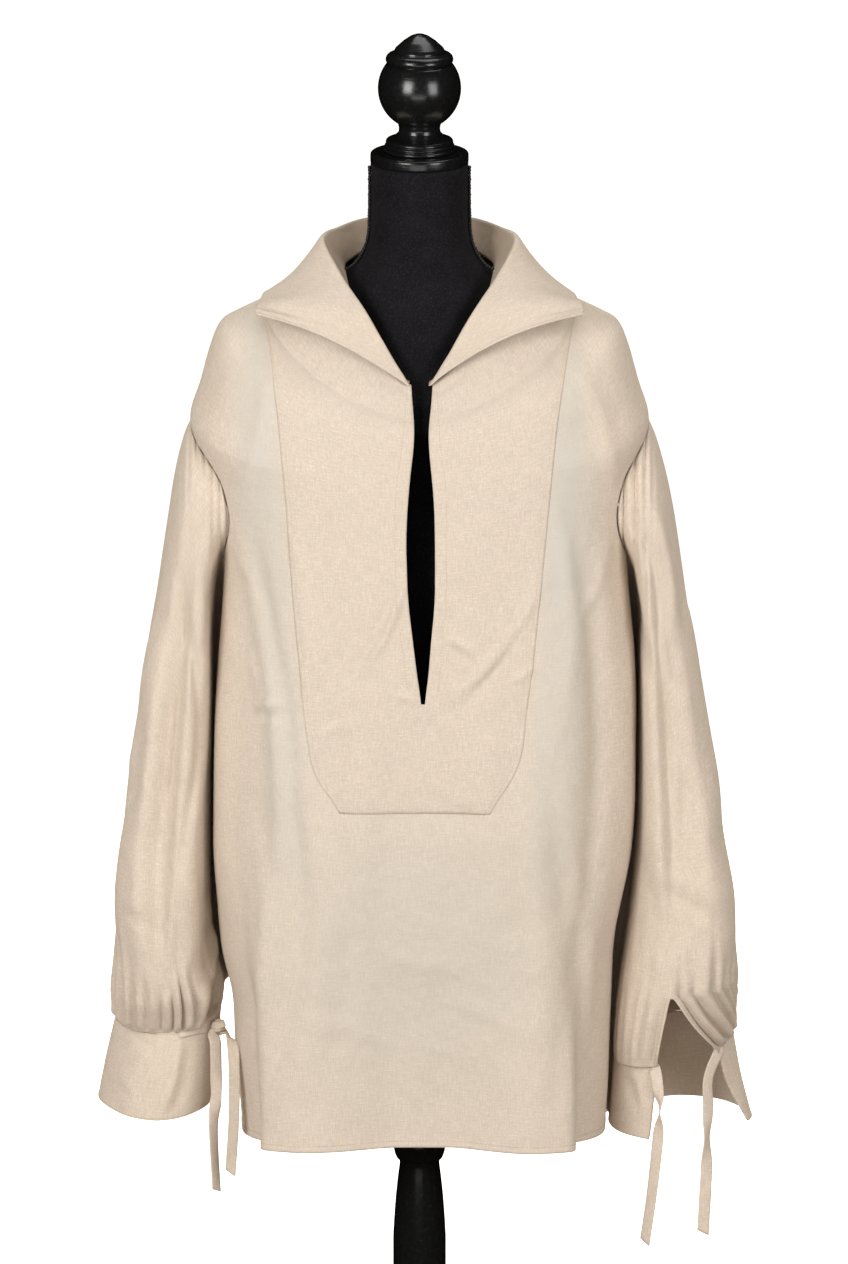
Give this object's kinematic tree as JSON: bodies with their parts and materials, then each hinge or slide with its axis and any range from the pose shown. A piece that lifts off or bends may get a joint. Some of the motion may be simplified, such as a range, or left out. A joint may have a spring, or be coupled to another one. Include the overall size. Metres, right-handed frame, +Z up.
{
  "type": "medieval shirt-tunic on a limbless dress form with a post stand",
  "caption": "Loose cream tunic with a deep open collar, long neck slit, shaped bib and full gathered sleeves with tied cuffs, worn by a black limbless dress form on a turned stand.",
  "frame": {"origin": "centre of the stand's flat underside, on the floor below the post", "axes": "+Z up along the post, -Y towards the front of the tunic, +X towards its wearer's left sleeve"},
  "size_m": [0.6559, 0.38, 1.62],
  "materials": {
    "linen": "undyed cream linen and cotton cloth, plain weave, softly creased",
    "jersey": "black jersey cover with braided trim over the neck seams",
    "black_wood": "turned wood, satin black lacquer"
  },
  "bodies": {
    "root": {"front": "linen", "back": "linen", "bib": "linen", "collar": "linen", "sleeve_left": "linen", "sleeve_right": "linen", "sleeve_facing": "linen", "cuff_left": "linen", "cuff_right": "linen", "tie_left_wrap": "linen", "tie_left_front": "linen", "tie_left_back": "linen", "tie_right_inner": "linen", "tie_right_outer": "linen", "tie_left_knot": "linen", "form": "jersey", "trim_left": "jersey", "trim_right": "jersey", "neck_cap": "black_wood", "finial": "black_wood", "post": "black_wood", "base": "black_wood"}
  },
  "joints": []
}
